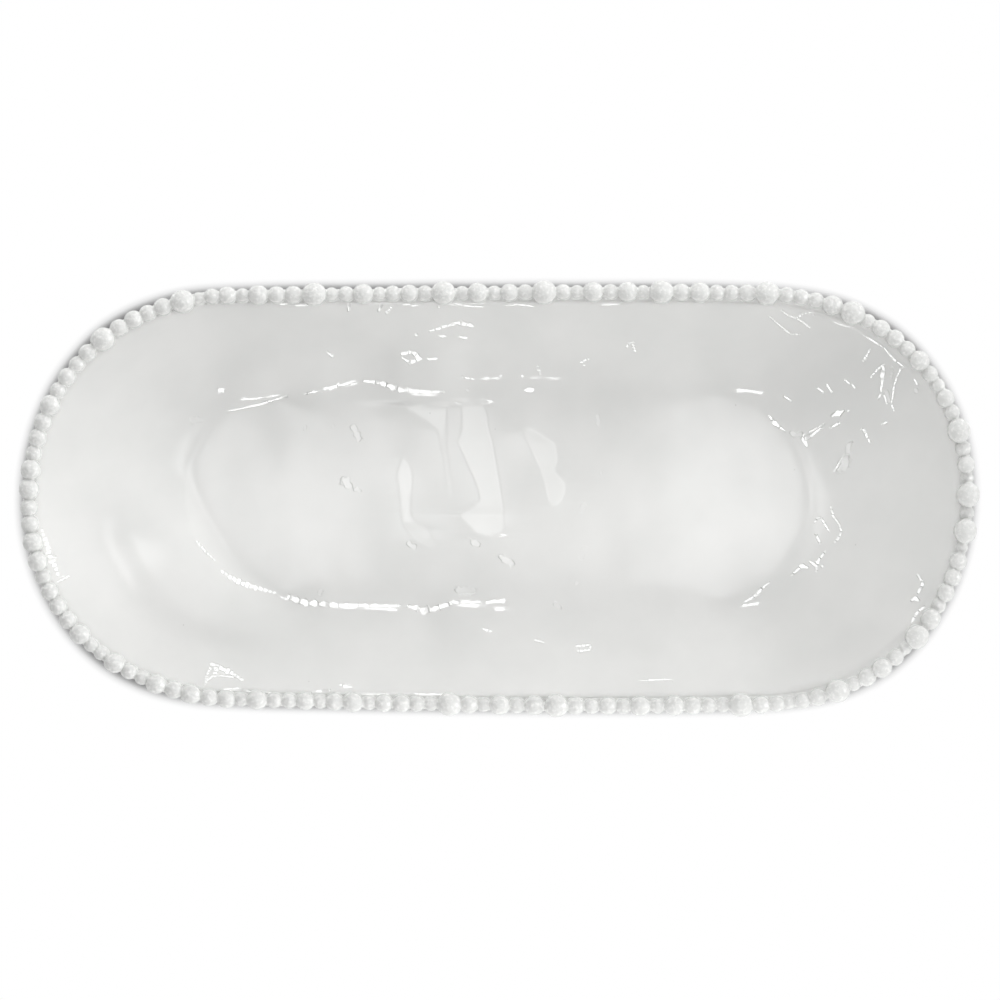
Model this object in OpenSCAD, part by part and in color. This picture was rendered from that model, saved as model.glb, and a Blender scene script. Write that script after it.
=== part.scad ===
// Asparagus plate: a long oval serving dish, built up by hand from clay and glazed white.
// A slab pressed into a shallow dish stands on a foot ring. A lip runs round its top edge,
// and hand-rolled clay beads of six sizes sit side by side all the way round the lip.
// X runs along the plate, Z is up, and the foot ring stands on Z = 0.

/* [Rim line] */
// Length of the rim line, which joins the centres of the beads
rim_l = 414; // [370:1:460]
// Width of the rim line
rim_w = 180.8; // [160:1:205]
// Height of the lip's level top above the table
rim_h = 30; // [24:0.5:40]
// How far the hand-built rim line swings in and out of a true oval
rim_swing = 0.7; // [0:0.1:1.5]

/* [Lip] */
// Thickness of the lip
lip_t = 3.2; // [2.4:0.1:4.4]
// How far the lip reaches outside the rim line
lip_out = 2.2; // [1.8:0.1:3.2]
// How far the lip reaches inside the rim line, halfway along the plate
lip_in = 5.1; // [4.5:0.1:7]
// How much wider the lip's inner part is at the right end, and narrower at the left end
lip_lean = 1.1; // [0:0.1:1.6]
// Size of the soft corner where the lip's top turns down into the well
lip_soft = 1.2; // [0.4:0.1:1.8]

/* [Well] */
// Length of the well's floor
floor_l = 294; // [250:1:310]
// Width of the well's floor
floor_w = 96; // [76:1:106]
// Thickness of the slab under the floor
floor_t = 4; // [3:0.1:5.5]
// How much lower the floor's middle is than its edge
floor_dip = 0.8; // [0:0.1:1.6]
// How far the floor lies off centre, towards the back side
floor_shift = 2; // [0:0.5:4]
// Width of the wall's level top, under the lip
wall_top_w = 5.4; // [4.2:0.1:6.4]
// How far the slab's flat underside reaches outside the floor
base_out = 4; // [2:0.5:7]
// Depth of the shallow marks that the hands left in the well
press_depth = 0.45; // [0:0.05:0.8]
// Distance between the hand marks along the plate
press_l = 58; // [40:1:90]
// Distance between the hand marks across the plate
press_w = 44; // [30:1:70]

/* [Foot ring] */
// Height of the foot ring
foot_h = 2.5; // [1.5:0.1:5]
// Width of the foot ring
foot_w = 5; // [3.5:0.1:8]
// Distance from the edge of the flat underside in to the foot ring
foot_inset = 3; // [1:0.5:8]
// Size of the foot ring's rounded lower corners
foot_soft = 0.8; // [0.2:0.1:1.2]

/* [Beads] */
// Diameter of the seed beads, the smallest
seed_d = 4.8; // [4.3:0.1:5.1]
// Diameter of the tiny beads
tiny_d = 5.6; // [5.2:0.1:6]
// Diameter of the small beads
small_d = 6.4; // [6:0.1:7]
// Diameter of the medium beads
medium_d = 7.3; // [6.9:0.1:7.9]
// Diameter of the large beads
large_d = 8.4; // [7.9:0.1:9.2]
// Diameter of the pearl beads, the largest
pearl_d = 10.2; // [9.3:0.1:11]
// Smallest gap between neighbouring beads
bead_gap = 0.1; // [0.05:0.05:0.3]

/* [Hidden] */
glaze_white = [0.93, 0.935, 0.925];
bare_clay = [0.88, 0.86, 0.82];
over = 1;
curve_steps = 96;
bead_steps = 36;

// The ovals of the rim line, the floor and the flat underside: half of the straight
// side, and the radius of the round ends.
rim_half = (rim_l - rim_w) / 2;
rim_r = rim_w / 2;
floor_half = (floor_l - floor_w) / 2;
floor_r = floor_w / 2;
base_r = floor_r + base_out;
foot_r = base_r - foot_inset;

// Heights of the floor's edge and of the wall's level top.
floor_z = foot_h + floor_t;
wall_top_z = rim_h - lip_t;

// How the walls bow: 1 is a straight slope, more is a flatter foot to the slope.
inner_bow = 1.35;
outer_bow = 1.3;

// Share of the inner slope, from the lip down, that belongs to the lip.
lip_share = 1 - pow((wall_top_z - floor_z) / (rim_h - floor_z), 1 / inner_bow);

// Steps round each end and along each side, and how many rings each surface has.
end_steps = 40;
side_steps = 24;
stations = 2 * (end_steps + side_steps);
outer_rings = 9;
inner_rings = 12;
floor_rings = 6;
nose_steps = 6;
floor_core_share = 0.2;
// Share of the slope over which the hand marks fade in, below the lip.
press_fade_share = 0.25;

// The slow swings of the rim line: times round, share of the swing, and start angle.
swing_shares = [
    [3, 1, 20], [6, 0.6, -150], [4, 0.55, -25], [2, 0.4, 90], [1, 0.4, 175], [8, 0.4, -165],
];

// The order of the beads, clockwise as seen from above: A is a seed bead and F a pearl.
bead_letters = "ABCDEF";
bead_sizes = [seed_d, tiny_d, small_d, medium_d, large_d, pearl_d];
bead_order = str(
    "FACDBEDDFB", "CEBCDCFBEB", "DCFCBECEBF", "DECCDFCCCE", "FBDDCECBDC", "FCDAFBFADD", "DBEFACEDBF",
    "DCACDFBCDE", "CECDCDFECE", "BDFBCDDBED", "BDCCEBDDED", "EBCEBBEDDD", "CEEDDEECDD", "ECDCDFDDCD"
);
// Where the first bead stands, as a share of the way round from the left end.
first_bead_share = 0.115;
// Height of a bead's centre above the lip, as a share of the bead's radius.
bead_rise_share = 0.6;
// Points per station at which the rim line's length is measured.
measure_steps = 6;

function mix(a, b, t) = a + (b - a) * t;

// A place on an oval, counted in stations clockwise from the left end: which side of
// the middle it is on, from -1 to 1, and the direction that the oval's edge faces.
function station(k) =
    let (q = k % stations, e = end_steps, s = side_steps)
    q < e / 2 ? [-1, 180 - 180 * q / e] :
    q < e / 2 + s ? [-1 + 2 * (q - e / 2) / s, 90] :
    q < e * 3 / 2 + s ? [1, 90 - 180 * (q - e / 2 - s) / e] :
    q < e * 3 / 2 + s * 2 ? [1 - 2 * (q - e * 3 / 2 - s) / s, -90] :
    [-1, -90 - 180 * (q - e * 3 / 2 - s * 2) / e];

function oval_point(k, half, r, z) =
    let (p = station(k)) [half * p.x + r * cos(p.y), r * sin(p.y), z];

// How far the hand-built rim line swings out at a station.
function swing(k) =
    rim_swing * [for (w = swing_shares) cos(360 * w[0] * k / stations - w[2]) * w[1]] *
    [for (w = swing_shares) 1];

// The lip's inner reach at a station, wider towards the right end.
function lip_reach(k) =
    lip_in + lip_lean * oval_point(k, rim_half, rim_r, 0).x / (rim_half + rim_r);

// The shallow hand marks in the well.
function press(x, y) =
    press_depth * (
        sin(360 * x / press_l + 50) * sin(360 * y / press_w + 20) / 2 +
        sin(360 * (x / press_l + y / press_w) * 0.7) / 4 +
        cos(360 * (x / press_l - y / press_w) * 1.15 + 75) / 4
    );

// A point of the inner slope, where t is 0 at the lip's top and 1 at the floor's edge.
function inner_point(k, t) =
    let (
        half = mix(rim_half, floor_half, t),
        r = mix(rim_r + swing(k) - lip_reach(k), floor_r, t),
        z = mix(floor_z, rim_h, pow(1 - t, inner_bow)),
        p = oval_point(k, half, r, z) + [0, floor_shift * t, 0],
        fade = min(1, max(0, (t - lip_share) / press_fade_share))
    )
    p + [0, 0, fade * press(p.x, p.y)];

// A point of the floor, where q is 1 at its edge and falls towards the middle.
function floor_point(k, q) =
    let (p = oval_point(k, floor_half, floor_r * q, floor_z - floor_dip * (1 - q * q)))
    p + [0, floor_shift, press(p.x, p.y + floor_shift)];

// A point of the outer slope, where t is 0 under the lip and 1 at the flat underside.
function outer_point(k, t) =
    let (
        top_half = mix(rim_half, floor_half, lip_share),
        top_r = mix(rim_r + swing(k) - lip_reach(k), floor_r, lip_share) + wall_top_w,
        z = mix(foot_h, wall_top_z, pow(1 - t, outer_bow)),
        y = floor_shift * mix(lip_share, 1, t)
    )
    oval_point(k, mix(top_half, floor_half, t), mix(top_r, base_r, t), z) + [0, y, 0];

// A point of the lip, out from the rim line and above the lip's underside.
function lip_point(k, out, up) =
    oval_point(k, rim_half, rim_r + swing(k) + out, wall_top_z + up);

// Triangles between one ring of points and the next, and a fill across one ring.
function band_faces(i, j) =
    [for (k = [0:stations - 1]) let (m = (k + 1) % stations)
        each [
            [i * stations + k, i * stations + m, j * stations + m],
            [i * stations + k, j * stations + m, j * stations + k],
        ]];
function fill_faces(i, up) =
    [for (k = [0:stations / 2 - 1]) let (
        a = i * stations + k,
        b = a + 1,
        c = i * stations + stations - k - 1,
        d = i * stations + (stations - k) % stations
    )
        each [
            if (b != c) up ? [a, b, c] : [a, c, b],
            if (a != d) up ? [a, c, d] : [a, d, c],
        ]];

module dish_body() {
    rings = concat(
        [for (i = [outer_rings:-1:0]) [for (k = [0:stations - 1]) outer_point(k, i / outer_rings)]],
        [for (i = [0:inner_rings]) [for (k = [0:stations - 1])
            inner_point(k, mix(lip_share, 1, i / inner_rings))]],
        [for (i = [1:floor_rings]) [for (k = [0:stations - 1])
            floor_point(k, mix(1, floor_core_share, i / floor_rings))]]
    );
    last = len(rings) - 1;
    color(glaze_white)
        polyhedron(
            points = [for (ring = rings) each ring],
            faces = concat(
                fill_faces(0, false),
                [for (i = [0:last - 1]) each band_faces(i, i + 1)],
                fill_faces(last, true)
            )
        );
}

// The lip's outline at one station, from its underside round the nose and back inside.
function lip_outline(k) =
    concat(
        [for (i = [0:nose_steps]) let (a = -90 + 180 * i / nose_steps)
            lip_point(k, lip_out - lip_t / 2 * (1 - cos(a)), lip_t / 2 * (1 + sin(a)))],
        [
            lip_point(k, lip_soft - lip_reach(k), lip_t),
            lip_point(k, lip_soft * 0.15 - lip_reach(k), lip_t - lip_soft * 0.2),
            inner_point(k, lip_share * 0.4),
            inner_point(k, lip_share),
        ]
    );

module rim_lip() {
    count = len(lip_outline(0));
    color(glaze_white)
        polyhedron(
            points = [for (i = [0:count - 1]) for (k = [0:stations - 1]) lip_outline(k)[i]],
            faces = [for (i = [0:count - 1]) each band_faces(i, (i + 1) % count)]
        );
}

// Sweeps a section, drawn at its distance from the end's centre, round an oval.
module oval_sweep(half) {
    for (side = [0, 1]) mirror([side, 0, 0])
        translate([half, 0, 0]) rotate([0, 0, -90]) rotate_extrude(angle = 180) children();
    for (side = [0, 1]) mirror([0, side, 0])
        translate([-half, 0, 0]) rotate([90, 0, 90]) linear_extrude(half * 2) children();
}

module foot_section() {
    // The lower corners are rounded and the top is flat, against the slab.
    difference() {
        translate([foot_r - foot_w, 0]) square([foot_w, foot_h]);
        for (x = [foot_r - foot_w, foot_r]) translate([x, 0]) rotate(45)
            square(foot_soft * sqrt(2), center = true);
    }
    for (x = [foot_r - foot_w + foot_soft, foot_r - foot_soft]) translate([x, foot_soft])
        circle(foot_soft, $fn = bead_steps);
}

module foot_ring() {
    color(bare_clay) translate([0, floor_shift, 0]) oval_sweep(floor_half, $fn = curve_steps) foot_section();
}

// The rim line as points, the way round to each, and the station of any distance round.
line_points = [for (i = [0:stations * measure_steps])
    lip_point(i / measure_steps, 0, lip_t)];
line_runs = [for (i = 0, run = 0; i < len(line_points);
    run = run + (i + 1 < len(line_points) ? norm(line_points[i + 1] - line_points[i]) : 0),
    i = i + 1) run];
line_table = [for (i = [0:len(line_runs) - 1]) [line_runs[i], i / measure_steps]];
line_l = line_runs[len(line_runs) - 1];

// Radius of a bead by its place in the row, and the step along the rim line between two.
function bead_letter(i) = bead_order[i % len(bead_order)];
function bead_r(i) = bead_sizes[search(bead_letter(i), bead_letters)[0]] / 2;
function bead_step(i, j) =
    let (apart = bead_r(i) + bead_r(j) + bead_gap, climb = bead_rise_share * (bead_r(i) - bead_r(j)))
    sqrt(apart * apart - climb * climb);

// As many beads as close the row are used, and what is left over widens every gap alike.
bead_runs = [for (i = 0, run = 0; run < line_l; run = run + bead_step(i, i + 1), i = i + 1) run];
bead_counts = [for (n = [2:len(bead_runs)])
    if (bead_runs[n - 1] + bead_step(n - 1, 0) <= line_l) n];
bead_count = max(bead_counts);
bead_spare = (line_l - bead_runs[bead_count - 1] - bead_step(bead_count - 1, 0)) / bead_count;

function bead_center(i) =
    let (
        run = (first_bead_share * line_l + bead_runs[i] + bead_spare * i) % line_l,
        place = lip_point(lookup(run, line_table), 0, lip_t)
    )
    place + [0, 0, bead_rise_share * bead_r(i)];

// A ball of clay pressed down onto the lip until its foot is flat.
module bead(r) {
    difference() {
        sphere(r, $fn = bead_steps);
        translate([-r - over, -r - over, -r - over])
            cube([2 * (r + over), 2 * (r + over), r * (1 - bead_rise_share) + over]);
    }
}

module beads(letter) {
    color(glaze_white)
        for (i = [0:bead_count - 1]) if (bead_letter(i) == letter)
            translate(bead_center(i)) bead(bead_r(i));
}

module seed_beads() { beads("A"); }
module tiny_beads() { beads("B"); }
module small_beads() { beads("C"); }
module medium_beads() { beads("D"); }
module large_beads() { beads("E"); }
module pearl_beads() { beads("F"); }

dish_body();
rim_lip();
foot_ring();
seed_beads();
tiny_beads();
small_beads();
medium_beads();
large_beads();
pearl_beads();
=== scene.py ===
"""A long oval serving dish, hand built in clay and glazed white, with clay beads round its rim."""

import logging
import math
from dataclasses import dataclass, field
from enum import Enum

import bpy
import numpy as np
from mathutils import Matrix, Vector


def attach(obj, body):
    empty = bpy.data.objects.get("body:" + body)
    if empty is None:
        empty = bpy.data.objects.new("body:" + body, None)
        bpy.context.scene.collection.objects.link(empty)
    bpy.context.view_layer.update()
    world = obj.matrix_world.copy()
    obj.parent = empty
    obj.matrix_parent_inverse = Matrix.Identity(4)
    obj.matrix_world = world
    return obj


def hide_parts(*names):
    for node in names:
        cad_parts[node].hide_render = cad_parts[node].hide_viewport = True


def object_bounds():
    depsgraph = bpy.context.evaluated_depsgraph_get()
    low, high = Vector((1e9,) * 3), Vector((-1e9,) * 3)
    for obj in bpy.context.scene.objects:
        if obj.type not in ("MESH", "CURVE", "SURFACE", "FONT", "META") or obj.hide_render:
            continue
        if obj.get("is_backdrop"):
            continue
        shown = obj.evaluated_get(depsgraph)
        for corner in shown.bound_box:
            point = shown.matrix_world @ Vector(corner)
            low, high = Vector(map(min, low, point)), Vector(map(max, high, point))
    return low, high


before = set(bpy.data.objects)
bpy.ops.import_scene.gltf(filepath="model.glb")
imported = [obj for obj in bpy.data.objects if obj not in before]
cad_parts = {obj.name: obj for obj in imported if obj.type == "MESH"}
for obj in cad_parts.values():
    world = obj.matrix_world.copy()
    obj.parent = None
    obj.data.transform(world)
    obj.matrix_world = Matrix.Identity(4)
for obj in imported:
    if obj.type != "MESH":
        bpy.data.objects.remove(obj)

log = logging.getLogger("dish")

# A millimetre in metres, and the watts that a square metre of a lamp takes to look white.
MM = 0.001
LAMP_POWER = 4.0
WHITE = (1.0, 1.0, 1.0, 1.0)
TINY = 1e-9
Array = np.ndarray
Point = tuple[float, float]
Spot = tuple[float, float, float]


class Lamp(Enum):
    """The studio lamps that a mark in the glaze can face."""

    KEY = "key"
    FAINT = "faint"
    NORTH = "north"
    SOUTH = "south"


def mix(a: float, b: float, t: Array) -> Array:
    """Return the value a share t of the way from a to b."""
    return a + (b - a) * t


def ease(v: Array, low: float, high: float) -> Array:
    """Return 0 below low and 1 above high, with a smooth rise between them."""
    t = np.clip((v - low) / (high - low), 0.0, 1.0)
    return t * t * (3.0 - 2.0 * t)


def greys(*stops: Point) -> tuple:
    """Turn pairs of a place and a brightness into the stops of a grey ramp."""
    return tuple((place, (value,) * 3) for place, value in stops)


def make_object(name: str, points: Array, faces: list,
                material: bpy.types.Material) -> bpy.types.Object:
    """Make a smooth-shaded mesh object.

    Args:
        name: name of the piece.
        points: places of its vertices, in millimetres.
        faces: vertex numbers of each face.
        material: its finish.

    Returns:
        The new object, linked to the scene.
    """
    mesh = bpy.data.meshes.new(name)
    mesh.from_pydata((points * MM).tolist(), [], faces)
    mesh.materials.append(material)
    mesh.shade_smooth()
    mesh.update()
    piece = bpy.data.objects.new(name, mesh)
    bpy.context.scene.collection.objects.link(piece)
    return piece


def grid_faces(rows: int, columns: int, start: int = 0) -> list:
    """List the faces between closed rings of vertices that follow each other.

    Args:
        rows: number of rings.
        columns: number of vertices in a ring.
        start: number of the first vertex.

    Returns:
        Four vertex numbers for each face.
    """
    i, j = np.meshgrid(np.arange(rows - 1), np.arange(columns), indexing="ij")
    a = start + i * columns + j
    b = start + i * columns + (j + 1) % columns
    return np.stack([a, b, b + columns, a + columns], axis=-1).reshape(-1, 4).tolist()


def joined_groups(count: int, pairs: Array) -> Array:
    """Find which points hang together.

    Args:
        count: number of points.
        pairs: the numbers of two points that are joined, in each row.

    Returns:
        A number for each point, which all points of its group share.
    """
    parent = list(range(count))

    def root(i: int) -> int:
        """Find the point that stands for a point's group.

        Args:
            i: number of the point.

        Returns:
            Number of the point that stands for them all.
        """
        while parent[i] != i:
            parent[i] = parent[parent[i]]
            i = parent[i]
        return i

    for a, b in pairs:
        first, second = root(int(a)), root(int(b))
        if first != second:
            parent[second] = first
    return np.array([root(i) for i in range(count)])


@dataclass(frozen=True)
class Slow:
    """A field of slow waves that run every way, as left by hands in soft clay."""

    seed: int
    shortest: float
    longest: float
    height: float
    count: int = 14

    def at(self, x: Array, y: Array) -> Array:
        """Add up the waves.

        Args:
            x: places along the dish.
            y: places across it.

        Returns:
            The field's height at each place.
        """
        rng = np.random.RandomState(self.seed)
        total = np.zeros_like(x)
        for _ in range(self.count):
            span = rng.uniform(self.shortest, self.longest)
            turn, shift = rng.uniform(0, 2 * math.pi, 2)
            way = x * math.cos(turn) + y * math.sin(turn)
            total += span / self.longest * np.sin(2 * math.pi * way / span + shift)
        return total * self.height / math.sqrt(self.count / 2)


@dataclass
class RimLine:
    """The line that joins the bead centres: an oval of two straights and two round ends.

    Each swing holds how often it comes round, its share of the depth and its start in degrees.
    """

    length: float = 414.0
    width: float = 180.8
    top: float = 30.0
    swing_depth: float = 0.7
    swings: tuple = ((3, 1, 20), (6, 0.6, -150), (4, 0.55, -25), (2, 0.4, 90), (1, 0.4, 175),
                     (8, 0.4, -165))
    end_share: float = 0.3125
    lip_in: float = 5.1
    lip_lean: float = 1.1

    @property
    def half(self) -> float:
        """Half of the straight side."""
        return (self.length - self.width) / 2

    @property
    def radius(self) -> float:
        """Radius of the round ends."""
        return self.width / 2

    def turn(self, u: Array) -> tuple[Array, Array]:
        """Find where on an oval a share of the way round is, clockwise from the left end.

        Args:
            u: shares of the way round.

        Returns:
            The side of the middle, from -1 to 1, and the facing angle in radians.
        """
        e, s = self.end_share, 0.5 - self.end_share
        knots = np.array([0, e / 2, e / 2 + s, e * 1.5 + s, e * 1.5 + 2 * s, 1.0])
        side = np.interp(u % 1.0, knots, [-1, -1, 1, 1, -1, -1])
        facing = np.interp(u % 1.0, knots, [180, 90, 90, -90, -90, -180])
        return side, np.radians(facing)

    def swing(self, u: Array) -> Array:
        """Return how far the rim line swings out at shares u."""
        return self.swing_depth * sum(
            a * np.cos(2 * np.pi * n * u - math.radians(p)) for n, a, p in self.swings)

    def reach(self, u: Array) -> Array:
        """Find how far the lip reaches in from the rim line.

        Args:
            u: shares of the way round.

        Returns:
            The reach at each.
        """
        side, facing = self.turn(u)
        x = self.half * side + self.radius * np.cos(facing)
        return self.lip_in + self.lip_lean * x / (self.half + self.radius)

    def share(self, x: Array, y: Array, half: Array) -> tuple[Array, Array]:
        """Find the share of the way round, and the distance from an oval's spine.

        Args:
            x: places along the dish.
            y: places across it, from the oval's spine.
            half: half of the oval's straight side.

        Returns:
            The shares and the distances.
        """
        side = np.clip(x / half, -1, 1)
        dx = x - side * half
        facing = np.degrees(np.arctan2(y, dx))
        e, s = self.end_share, 0.5 - self.end_share
        top = e / 2 + s * (side + 1) / 2
        low = e * 1.5 + s + s * (1 - side) / 2
        right = e / 2 + s + e * (90 - facing) / 180
        left = np.where(facing >= 0, e * (180 - facing) / 180, 1 + e * (-180 - facing) / 180)
        flat = np.abs(x) <= half
        u = np.where(flat, np.where(y >= 0, top, low), np.where(x > 0, right, left))
        return u, np.hypot(dx, y)

    def at(self, u: Array) -> tuple[Array, Array]:
        """Find points of the rim line.

        Args:
            u: shares of the way round.

        Returns:
            The x and the y of each.
        """
        side, facing = self.turn(u)
        r = self.radius + self.swing(u)
        return self.half * side + r * np.cos(facing), r * np.sin(facing)


@dataclass(frozen=True)
class Sheet:
    """A node tree, with short ways to add nodes and join them."""

    tree: bpy.types.NodeTree

    @classmethod
    def on(cls, owner: bpy.types.ID) -> "Sheet":
        """Clear a node tree.

        Args:
            owner: the material, world or lamp that it belongs to.

        Returns:
            The empty tree.
        """
        owner.use_nodes = True
        owner.node_tree.nodes.clear()
        return cls(owner.node_tree)

    def add(self, kind: str, inputs: dict | None = None, **settings: object) -> bpy.types.Node:
        """Add a node.

        Args:
            kind: the kind of node.
            inputs: what goes into its sockets, by name or number: a socket that is linked to
                them, or a value that is written there.
            settings: its settings, by name.

        Returns:
            The node.
        """
        node = self.tree.nodes.new(kind)
        for name, value in settings.items():
            setattr(node, name, value)
        for key, value in (inputs or {}).items():
            if isinstance(value, bpy.types.NodeSocket):
                self.tree.links.new(value, node.inputs[key])
            else:
                node.inputs[key].default_value = value
        return node

    def math(self, operation: str, first: object, second: object = 0.0) -> bpy.types.NodeSocket:
        """Add a sum, product or the like of two values, which are sockets or numbers."""
        return self.add("ShaderNodeMath", {0: first, 1: second}, operation=operation).outputs[0]

    def rise(self, value: bpy.types.NodeSocket, low: float, high: float,
             most: float = 1.0) -> bpy.types.NodeSocket:
        """Add a smooth rise.

        Args:
            value: socket that drives it.
            low: value where it starts from 0.
            high: value where it ends.
            most: what it reaches there.

        Returns:
            The socket of the result.
        """
        inputs = {"Value": value, "From Min": low, "From Max": high, "To Max": most}
        return self.add("ShaderNodeMapRange", inputs, interpolation_type="SMOOTHSTEP").outputs[0]

    def ramp(self, value: bpy.types.NodeSocket, stops: tuple, low: float,
             high: float) -> bpy.types.NodeSocket:
        """Add a colour ramp.

        Args:
            value: socket that drives it.
            stops: places from 0 to 1, each with its colour.
            low: value at the ramp's start.
            high: value at its end.

        Returns:
            The colour socket.
        """
        fit = self.add("ShaderNodeMapRange", {"Value": value, "From Min": low, "From Max": high})
        node = self.add("ShaderNodeValToRGB", {"Fac": fit.outputs["Result"]})
        ramp = node.color_ramp
        while len(ramp.elements) < len(stops):
            ramp.elements.new(0.5)
        for element, (place, colour) in zip(ramp.elements, stops):
            element.position = place
            element.color = (*colour, 1.0)
        return node.outputs["Color"]

    def choose(self, share: bpy.types.NodeSocket, first: bpy.types.Node,
               second: bpy.types.Node) -> bpy.types.NodeSocket:
        """Add a mix of two shaders, the first where share is 0 and the second where it is 1."""
        inputs = {0: share, 1: first.outputs[0], 2: second.outputs[0]}
        return self.add("ShaderNodeMixShader", inputs).outputs[0]


@dataclass(frozen=True)
class Panel:
    """A soft panel lamp, with its size and place in millimetres and its turn in degrees.

    Its shine is 1 where it is white. Its fade is the soft share of its size at its low x, high x,
    low y and high y edges. Its shade is its brightness along x, as places from 0 to 1, each with
    a share of the shine. Only a mirrored panel is seen in the glaze.
    """

    name: str
    size: Point
    place: Spot
    shine: float
    turn: Spot = (0.0, 0.0, 0.0)
    fade: tuple = ()
    shade: tuple = ()
    mirrored: bool = True

    def hang(self) -> None:
        """Hang the lamp."""
        data = bpy.data.lights.new(self.name, "AREA")
        data.shape = "RECTANGLE"
        data.size, data.size_y = self.size[0] * MM, self.size[1] * MM
        data.energy = LAMP_POWER * self.shine * data.size * data.size_y
        lamp = bpy.data.objects.new(self.name, data)
        lamp.location = [v * MM for v in self.place]
        lamp.rotation_euler = [math.radians(a) for a in self.turn]
        lamp.visible_camera = False
        lamp.visible_glossy = self.mirrored
        bpy.context.scene.collection.objects.link(lamp)
        if self.fade:
            self.soften(Sheet.on(data))

    def soften(self, sheet: Sheet) -> None:
        """Let the panel's cloth grow darker towards its edges, and along x by its shade.

        Args:
            sheet: the lamp's empty node tree.
        """
        cloth = sheet.add("ShaderNodeNewGeometry").outputs["Parametric"]
        split = sheet.add("ShaderNodeSeparateXYZ", {0: cloth})
        low_x, high_x, low_y, high_y = self.fade
        edges = (("X", 0.0, low_x), ("X", 1.0, 1.0 - high_x),
                 ("Y", 0.0, low_y), ("Y", 1.0, 1.0 - high_y))
        rises = [sheet.rise(split.outputs[axis], start, end) for axis, start, end in edges]
        shade = rises[0]
        for rise in rises[1:]:
            shade = sheet.math("MULTIPLY", shade, rise)
        if self.shade:
            middle = sheet.ramp(split.outputs["X"], greys(*self.shade), 0.0, 1.0)
            shade = sheet.math("MULTIPLY", shade, middle)
        glow = sheet.add("ShaderNodeEmission", {"Strength": shade})
        sheet.add("ShaderNodeOutputLight", {"Surface": glow.outputs[0]})


@dataclass(frozen=True)
class Sky:
    """Light from all round, brighter from the right and the back, and white to the camera."""

    lean: Spot = (0.26, 0.17, -0.03)
    reach: float = 0.32
    dark: float = 0.17
    light: float = 0.81

    def spread(self) -> None:
        """Set up the world."""
        world = bpy.data.worlds.new("studio")
        bpy.context.scene.world = world
        sheet = Sheet.on(world)
        place = sheet.add("ShaderNodeTexCoord").outputs["Generated"]
        turned = sheet.add("ShaderNodeVectorMath", {0: place, 1: self.lean},
                           operation="DOT_PRODUCT")
        tones = greys((0.0, self.dark), (1.0, self.light))
        shade = sheet.ramp(turned.outputs["Value"], tones, -self.reach, self.reach)
        light = sheet.add("ShaderNodeBackground", {"Color": shade})
        white = sheet.add("ShaderNodeBackground", {"Color": WHITE})
        seen = sheet.add("ShaderNodeLightPath").outputs["Is Camera Ray"]
        sheet.add("ShaderNodeOutputWorld", {"Surface": sheet.choose(seen, light, white)})


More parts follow.
